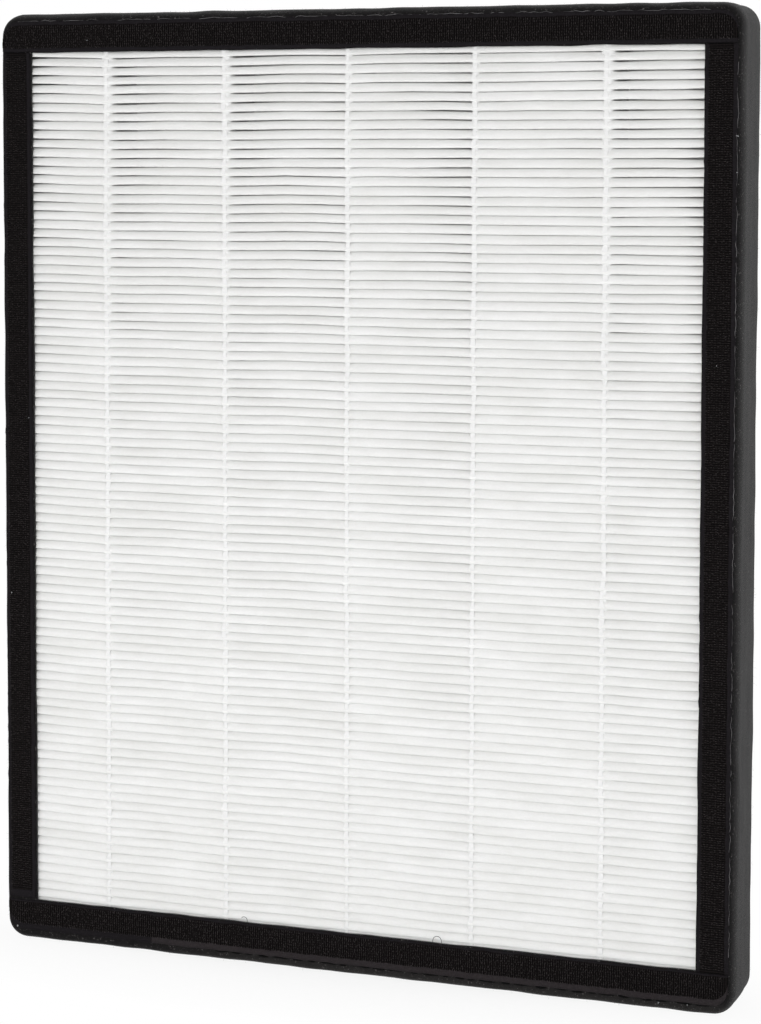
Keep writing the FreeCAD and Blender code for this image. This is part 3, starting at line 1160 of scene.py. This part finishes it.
@dataclass
class FastenerTape:
    """One fastener strip: its ribbon and hooks, and along its outer edge a pale strand of painted highlight
    on some strips and black dashes of painted shadow on another.

    It runs from start to end, and from its low edge to its high edge across the run.
    """

    name: str
    run: Run
    start: float
    end: float
    low: float
    high: float
    outer_is_high: bool = True
    rounded_ends: bool = False
    base_y: float = -15.25
    ribbon: float = 0.6
    pile: float = 0.9
    inner_selvedge: float = 1.6
    outer_selvedge: float = 1.6
    end_radius: float = 7.15
    row_pitch: float = 0.95
    column_pitch: float = 1.08
    hook_width: float = 0.62
    hook_radius: float = 0.085
    hook_margin: float = 0.35
    # The pale strand along the outer edge is a painted highlight; this is its radius.
    highlight_strand_radius: float = 0.085
    # Black dashes of painted shadow along the outer edge: their thickness, lengths and gaps.
    shadow_dash_radius: float = 0.50
    shadow_dash_length: Pair = (2.5, 8.0)
    shadow_dash_gap: Pair = (0.8, 3.2)
    end_inset: float = 1.95
    bare_start: float = 0.0
    worn_from: float = -math.inf
    # Where the dashes of painted gap shadow start along the run, if the strip has them.
    shadow_dashes_from: float | None = None
    seed: int = 3

    @property
    def selvedges(self) -> Pair:
        """The widths of the selvedges at the low edge and at the high edge."""
        widths = (self.inner_selvedge, self.outer_selvedge)
        return widths if self.outer_is_high else widths[::-1]

    def edges(self, along: Array) -> tuple[Array, Array]:
        """The strip's two edges, drawn in where its outer corners follow the frame's.

        Args:
            along: places along the run.

        Returns:
            The low edge and the high edge at each place.
        """
        low, high = np.full_like(along, self.low), np.full_like(along, self.high)
        if self.rounded_ends:
            from_end = np.minimum(along - self.start, self.end - along)
            short = np.clip(self.end_radius - from_end, 0.0, self.end_radius)
            drawn = self.end_radius - np.sqrt(self.end_radius**2 - short**2)
            if self.outer_is_high:
                high = high - drawn
            else:
                low = low + drawn
        return low, high

    def outside(self, along: Array, away: Array) -> Array:
        """Places across the strip, some way outside its outer edge at places along it."""
        low, high = self.edges(along)
        return high + away if self.outer_is_high else low - away

    def point(self, along: Array | float, across: Array | float, y: Array | float) -> Array:
        """Points from places along and across the strip.

        Args:
            along: places along the run.
            across: places across it.
            y: depths.

        Returns:
            Points in the frame's axes.
        """
        along, across, y = np.broadcast_arrays(along, across, y)
        if self.run is Run.ACROSS:
            return np.stack([along, y, across], axis=-1)
        return np.stack([across, y, along], axis=-1)

    def build_ribbon(self, *finishes: Material) -> None:
        """The woven ribbon: plain selvedges and the ground that the hooks stand on.

        Each point of its section has its share of the width, how far it lies from there, and its depth.

        Args:
            *finishes: the inner selvedge's material, the ground's and the outer selvedge's.
        """
        near_end = np.linspace(0.0, self.end_radius, 10)
        middle = np.linspace(self.start + self.end_radius, self.end - self.end_radius, 220)
        along = np.concatenate([self.start + near_end[:-1], middle, self.end - near_end[-2::-1]])
        along = np.concatenate([along[:1], along, along[-1:]])
        low, high = self.edges(along)
        low = low + Waves(self.seed + 1, 0.10, 5.0, 40.0).at(along[:, None])
        high = high + Waves(self.seed + 2, 0.10, 5.0, 40.0).at(along[:, None])
        base, face = self.base_y, self.base_y - self.ribbon
        belly, ground, groove = base - self.ribbon * 0.55, face - 0.22, face + 0.05
        (bare_low, bare_high), step = self.selvedges, 0.3
        low_selvedge, ground_columns, high_selvedge = slice(0, 4), slice(4, 10), slice(10, None)
        section = [
            (0.0, 0.0, base), (0.0, -0.02, belly), (0.0, 0.22, face - 0.04),
            (0.0, bare_low * 0.6, face), (0.0, bare_low, groove), (0.0, bare_low + step, face - 0.18),
            (0.3, 0.0, ground), (0.5, 0.0, ground), (0.7, 0.0, ground),
            (1.0, -bare_high - step, face - 0.18), (1.0, -bare_high, groove),
            (1.0, -bare_high * 0.6, face), (1.0, -0.22, face - 0.04), (1.0, 0.02, belly), (1.0, 0.0, base),
        ]
        share, offset, level = np.array(section).T
        y = np.tile(level, (len(along), 1))
        y[0], y[-1] = base, base
        across = low[:, None] + (high - low)[:, None] * share + offset
        points = self.point(along[:, None], across, y)
        points[..., 1] += Waves(self.seed + 3, 0.05, 4.0, 30.0).at(points) * (y < base)
        finish = np.zeros((len(along) - 1, len(section) - 1), dtype=int)
        finish[:, ground_columns] = 1
        outer_side = high_selvedge if self.outer_is_high else low_selvedge
        finish[along[:-1] >= self.worn_from, outer_side] = 2
        finish[along[:-1] < self.start + self.bare_start] = 2
        draft = MeshDraft()
        draft.add_grid(points, finish=finish)
        draft.fit(f"{self.name}_ribbon", Slot.TAPE, *finishes, node=f"{self.name}_fastener_tape")

    def build_hooks(self, nylon: Material) -> None:
        """The hooks: rows of small arches across the strip, each cut open on one side.

        Args:
            nylon: their material.
        """
        random = np.random.default_rng(self.seed + 20)
        inset_low, inset_high = (width + self.hook_margin for width in self.selvedges)
        first = self.start + self.end_inset + self.bare_start
        rows = np.arange(first, self.end - self.end_inset, self.row_pitch)
        columns = np.arange(self.low + inset_low, self.high - inset_high + 0.01, self.column_pitch)
        along, across = (grid.ravel() for grid in np.meshgrid(rows, columns, indexing="ij"))
        along = along + random.normal(size=len(along)) * 0.10
        across = across + random.normal(size=len(along)) * 0.14
        low, high = self.edges(np.clip(along, self.start, self.end))
        kept = (across > low + inset_low - 0.3) & (across < high - inset_high + 0.3)
        along, across = along[kept, None], across[kept, None]
        count = len(along)
        height = (self.pile - 0.12) * random.uniform(0.72, 1.0, size=(count, 1))
        width = self.hook_width * random.uniform(0.75, 1.25, size=(count, 1))
        way = np.where(random.uniform(size=(count, 1)) < 0.5, -1.0, 1.0)
        turn = np.linspace(0.0, 0.86, 5) * math.pi
        over = -np.cos(turn) * width / 2 * way
        rise = np.sin(turn) ** 0.7 * height
        lean = random.normal(size=(count, 1)) * 0.25
        foot = self.base_y - self.ribbon - 0.1
        paths = self.point(along + lean * rise, across + over, foot - rise)
        draft = MeshDraft()
        draft.add_tubes(paths, self.hook_radius, self.point(1.0, 0.0, 0.0), 3)
        draft.fit(f"{self.name}_hooks", Slot.TAPE, nylon)

    def build_edge_thread(self, thread: Material) -> None:
        """A pale strand along the ribbon's outer edge: a painted highlight on that edge.

        Args:
            thread: the material of the pale strand of painted highlight.
        """
        along = np.arange(self.start + self.end_radius, self.end - self.end_radius, 0.9)
        wander = Waves(self.seed + 30, 0.16, 4.0, 30.0).at(along[:, None])
        rise = Waves(self.seed + 31, 0.16, 3.0, 22.0).at(along[:, None])
        y = self.base_y - self.ribbon * 0.55 - rise
        path = self.point(along, self.outside(along, 0.10 + wander), y)
        draft = MeshDraft()
        draft.add_tubes(path[None], self.highlight_strand_radius, self.point(0.0, 1.0, 0.0), 5)
        draft.fit(f"{self.name}_edge_thread", Slot.TAPE, thread)

    def build_glue_line(self, gap_shade: Material) -> None:
        """Black dashes of painted shadow in the gap where the outer edge lifts off the felt.

        Args:
            gap_shade: the material of the painted shadow.
        """
        random = np.random.default_rng(self.seed + 40)
        bulge = np.sin(np.linspace(0.12, math.pi - 0.12, 9)) ** 0.5
        draft = MeshDraft()
        place = self.shadow_dashes_from
        while place < self.end - self.end_radius:
            length = random.uniform(*self.shadow_dash_length)
            along = np.linspace(place, min(place + length, self.end - 2.0), len(bulge))
            thick = self.shadow_dash_radius * bulge * random.uniform(0.7, 1.15)
            wander = Waves(self.seed + 41, 0.10, 4.0, 20.0).at(along[:, None])
            path = self.point(along, self.outside(along, 0.32 + wander), self.base_y - 0.02)
            draft.add_tubes(path[None], thick, self.point(0.0, 1.0, 0.0), 6)
            place += length + random.uniform(*self.shadow_dash_gap)
        draft.fit(f"{self.name}_glue_line", Slot.TAPE, gap_shade)


@dataclass
class FastenerTapes:
    """The four strips round the window: two over the full width, two butted between them."""

    panel: Panel
    width: float = 13.0
    setback: float = 0.3
    joint_gap: float = 0.3
    left_shortfall: float = 1.3
    worn: tuple[str, ...] = ("bottom",)
    # The strips whose outer edge gets a pale strand of painted highlight.
    edge_highlit: tuple[str, ...] = ("top", "right")
    selvedge_row: float = 0.5
    ground_row: float = 0.95
    selvedge: tuple[Colour, Colour] = ((0.007, 0.006, 0.007), (0.020, 0.018, 0.020))
    ground: tuple[Colour, Colour] = ((0.0006, 0.0006, 0.0006), (0.0135, 0.0110, 0.0110))
    pale: tuple[Colour, Colour] = ((0.017, 0.0145, 0.0155), (0.044, 0.038, 0.040))
    nylon: YarnFinish = YarnFinish("hook_nylon", (0.002, 0.002, 0.002), (0.094, 0.083, 0.083), 0.5, 1.3)
    # The colour of the pale strand of painted edge highlight.
    thread: YarnFinish = YarnFinish("edge_thread", (0.045, 0.044, 0.045), (0.24, 0.235, 0.24), 0.6, 9.0)
    # The black of the dashes of painted shadow under the bottom strip's lifted edge.
    gap_shade: YarnFinish = YarnFinish("gap_shadow_dashes", (0.0008, 0.0008, 0.0008), (0.003, 0.003, 0.003), 0.6)

    def strips(self) -> list[FastenerTape]:
        """The four strips in their places.

        Returns:
            The top, bottom, left and right strip.
        """
        window = self.panel.window
        inner = window.right + self.setback
        outer = inner + self.width
        top_low = window.top + self.setback
        bottom_high = window.bottom - self.setback
        wide = {"run": Run.ACROSS, "start": -outer, "end": outer, "rounded_ends": True}
        tall = {"run": Run.UP, "end": top_low - self.joint_gap}
        above_bottom = bottom_high + self.joint_gap
        return [
            FastenerTape("top", low=top_low, high=top_low + self.width, seed=100, **wide),
            FastenerTape(
                "bottom",
                low=bottom_high - self.width,
                high=bottom_high,
                outer_is_high=False,
                inner_selvedge=0.8,
                outer_selvedge=2.6,
                worn_from=-92.0,
                # The painted gap shadow starts here along the bottom strip.
                shadow_dashes_from=-62.0,
                seed=200,
                **wide,
            ),
            FastenerTape(
                "left",
                low=-outer,
                high=-inner,
                start=bottom_high + self.left_shortfall,
                outer_is_high=False,
                bare_start=2.8,
                seed=300,
                **tall,
            ),
            FastenerTape("right", low=inner, high=outer, start=above_bottom, seed=400, **tall),
        ]

    def build(self) -> None:
        """Build and dress the four strips."""
        # thread colours the pale strand of painted edge highlight, and glue the black dashes of painted gap
        # shadow.
        nylon, thread, gap_shade = (yarn.material() for yarn in (self.nylon, self.thread, self.gap_shade))
        woven = {}
        for run in Run:
            word = run.name.lower()
            woven[run] = (
                WovenFinish(f"selvedge_{word}", run, *self.selvedge, self.selvedge_row).material(),
                WovenFinish(f"ground_{word}", run, *self.ground, self.ground_row).material(),
            )
        pale = WovenFinish("pale_selvedge", Run.ACROSS, *self.pale, self.selvedge_row).material()
        for strip in self.strips():
            selvedge, ground = woven[strip.run]
            strip.build_ribbon(selvedge, ground, pale if strip.name in self.worn else selvedge)
            strip.build_hooks(nylon)
            # A pale strand of painted highlight along the outer edge of these strips.
            if strip.name in self.edge_highlit:
                strip.build_edge_thread(thread)
            # Black dashes of painted shadow along the bottom strip's outer edge.
            if strip.shadow_dashes_from is not None:
                strip.build_glue_line(gap_shade)


@dataclass
class Strays:
    """Lint caught on the felt and the tapes, and two filaments that stand off the bottom tape.

    A speck of lint has its X, Z and size, and a loop its X, width, height and start, which is the
    share of the loop that the tape hides.
    """

    lint_places: tuple[Triple, ...] = (
        (-120.0, 393.2, 0.8), (132.3, 4.2, 1.2), (144.2, 4.6, 0.7),
        (160.6, 352.2, 1.1), (160.7, 338.0, 0.6), (-157.7, 154.0, 0.9),
        (-156.0, 6.4, 1.4), (-148.9, 231.0, 0.6), (153.4, 262.0, 0.6),
    )
    lint_fibres: int = 5
    lint_step: Triple = (0.09, 0.03, 0.09)
    loops: tuple[tuple[float, ...], ...] = ((-48.3, 3.0, 3.2, 0.28), (38.3, 3.7, 3.7, 0.0))
    loop_foot: float = 17.8
    loop_radius: float = 0.11
    front_y: float = -16.3
    seed: int = 61
    lint: YarnFinish = YarnFinish("lint", (0.25, 0.26, 0.27), (0.6, 0.61, 0.62), 0.7)
    filament: YarnFinish = YarnFinish("filament", (0.008, 0.008, 0.008), (0.04, 0.04, 0.04), 0.5)

    def build_lint(self) -> None:
        """Specks of pale lint: a few short fibres balled up in each."""
        random = np.random.default_rng(self.seed)
        draft = MeshDraft()
        for x, z, size in self.lint_places:
            start = random.normal(size=(self.lint_fibres, 1, 3)) * self.lint_step * size
            steps = random.normal(size=(self.lint_fibres, 4, 3)) * self.lint_step * size
            paths = np.array([x, self.front_y, z]) + start + np.cumsum(steps, axis=1)
            draft.add_tubes(paths, 0.09 * (0.5 + size), (0.0, 1.0, 0.0), 5)
        draft.fit("lint", Slot.TAPE, self.lint.material())

    def build_loops(self) -> None:
        """The two filaments, each bent over into a loop."""
        draft = MeshDraft()
        for x, width, height, start in self.loops:
            turn = np.linspace(start, 1.0, 25)
            across = x + width * (-0.5 * np.cos(turn * math.pi) - 0.10 * np.sin(turn * math.tau))
            y = self.front_y + 0.35 * np.sin(turn * math.pi * 1.5)
            z = self.loop_foot + height * np.sin(turn * math.pi) ** 0.75
            draft.add_tubes(np.stack([across, y, z], axis=-1)[None], self.loop_radius, (0.0, 1.0, 0.0), 5)
        draft.fit("stray_filaments", Slot.TAPE, self.filament.material())

    def build(self) -> None:
        """Build them all."""
        self.build_lint()
        self.build_loops()


@dataclass
class Studio:
    """Floor, plain soft light and the camera. Not part of the filter.

    A lamp has its place, its width and height in metres, and its power in watts.
    """

    panel: Panel
    floor_size: float = 12.0
    floor_z: float = -0.4
    ambient: float = 0.5
    lens: float = 91.41
    sensor: float = 36.0
    shift: float = -0.175
    yaw: float = 19.679
    pitch: float = 3.791
    roll: float = 0.105
    sideways: float = 11.78
    above_middle: float = 139.87
    distance: float = 1072.5
    lamps: tuple[tuple[str, Triple, Pair, float], ...] = (
        ("key", (0.3, -2.2, 0.4), (1.0, 1.0), 25.0),
        ("side", (1.5, 2.1, 0.7), (1.0, 1.0), 26.0),
        ("back", (-0.8, 2.1, 0.4), (1.0, 1.0), 8.0),
        ("foot_strip", (-0.08, -0.35, 0.0), (0.6, 0.2), 0.62),
    )

    def build_floor(self) -> None:
        """A sheet of studio paper under the filter."""
        half = self.floor_size / MM / 2
        ticks = np.linspace(-half, half, 9)
        x, y = np.meshgrid(ticks, ticks, indexing="ij")
        draft = MeshDraft()
        draft.add_grid(np.stack([x, y, np.full_like(x, self.floor_z)], axis=-1))
        draft.make("studio_floor", FloorFinish().material())

    def build_world(self) -> None:
        """Even light from all round, and white behind the filter."""
        graph = NodeGraph("studio", "worlds")
        bpy.context.scene.world = graph.owner
        strength = graph.spread(graph.seen(), 0.0, 1.0, self.ambient, 1.0)
        background = graph.add("Background", Color=(1.0, 1.0, 1.0), Strength=strength)
        graph.add("OutputWorld", Surface=background.outputs["Background"])

    def build_lamps(self) -> None:
        """A key in front, two lights behind and a low strip before the foot, all facing the middle."""
        middle = Vector((0.0, 0.0, self.panel.height / 2 * MM))
        for name, place, size, watts in self.lamps:
            lamp = bpy.data.lights.new(name, "AREA")
            lamp.shape = "RECTANGLE"
            lamp.size, lamp.size_y = size
            lamp.energy = watts
            holder = bpy.data.objects.new(name, lamp)
            holder.location = place
            holder.visible_camera = False
            holder.rotation_euler = (middle - holder.location).to_track_quat("-Z", "Y").to_euler()
            bpy.context.scene.collection.objects.link(holder)

    def build_camera(self) -> None:
        """The camera, to the filter's right and above its middle, with a lens shifted down."""
        data = bpy.data.cameras.new("camera")
        data.lens = self.lens
        data.sensor_width = self.sensor
        data.sensor_fit = "AUTO"
        data.shift_y = self.shift
        data.clip_start, data.clip_end = 0.05, 40.0
        camera = bpy.data.objects.new("camera", data)
        yaw, pitch = math.radians(self.yaw), math.radians(self.pitch)
        right = (math.cos(yaw), math.sin(yaw))
        back = (math.sin(yaw), -math.cos(yaw))
        x = self.sideways * right[0] + self.distance * back[0]
        y = self.sideways * right[1] + self.distance * back[1] + self.panel.front_y
        camera.location = Vector((x, y, self.above_middle + self.panel.height / 2)) * MM
        forward = Vector((-back[0] * math.cos(pitch), -back[1] * math.cos(pitch), -math.sin(pitch)))
        turn = forward.to_track_quat("-Z", "Y") @ Quaternion((0.0, 0.0, 1.0), math.radians(self.roll))
        camera.rotation_euler = turn.to_euler()
        bpy.context.scene.collection.objects.link(camera)
        bpy.context.scene.camera = camera

    def build(self) -> None:
        """Build the studio."""
        bpy.context.scene.view_settings.view_transform = "Standard"
        self.build_floor()
        self.build_world()
        self.build_lamps()
        self.build_camera()


def main() -> None:
    """Build the filter over its CAD model, then the studio."""
    logging.basicConfig(level=logging.INFO, format="%(name)s: %(message)s")
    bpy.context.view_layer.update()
    panel = Panel()
    Studio(panel).build()
    FeltFrame(panel).build()
    PleatedPack(panel).build()
    FastenerTapes(panel).build()
    Strays().build()


if __name__ == "__main__":
    main()
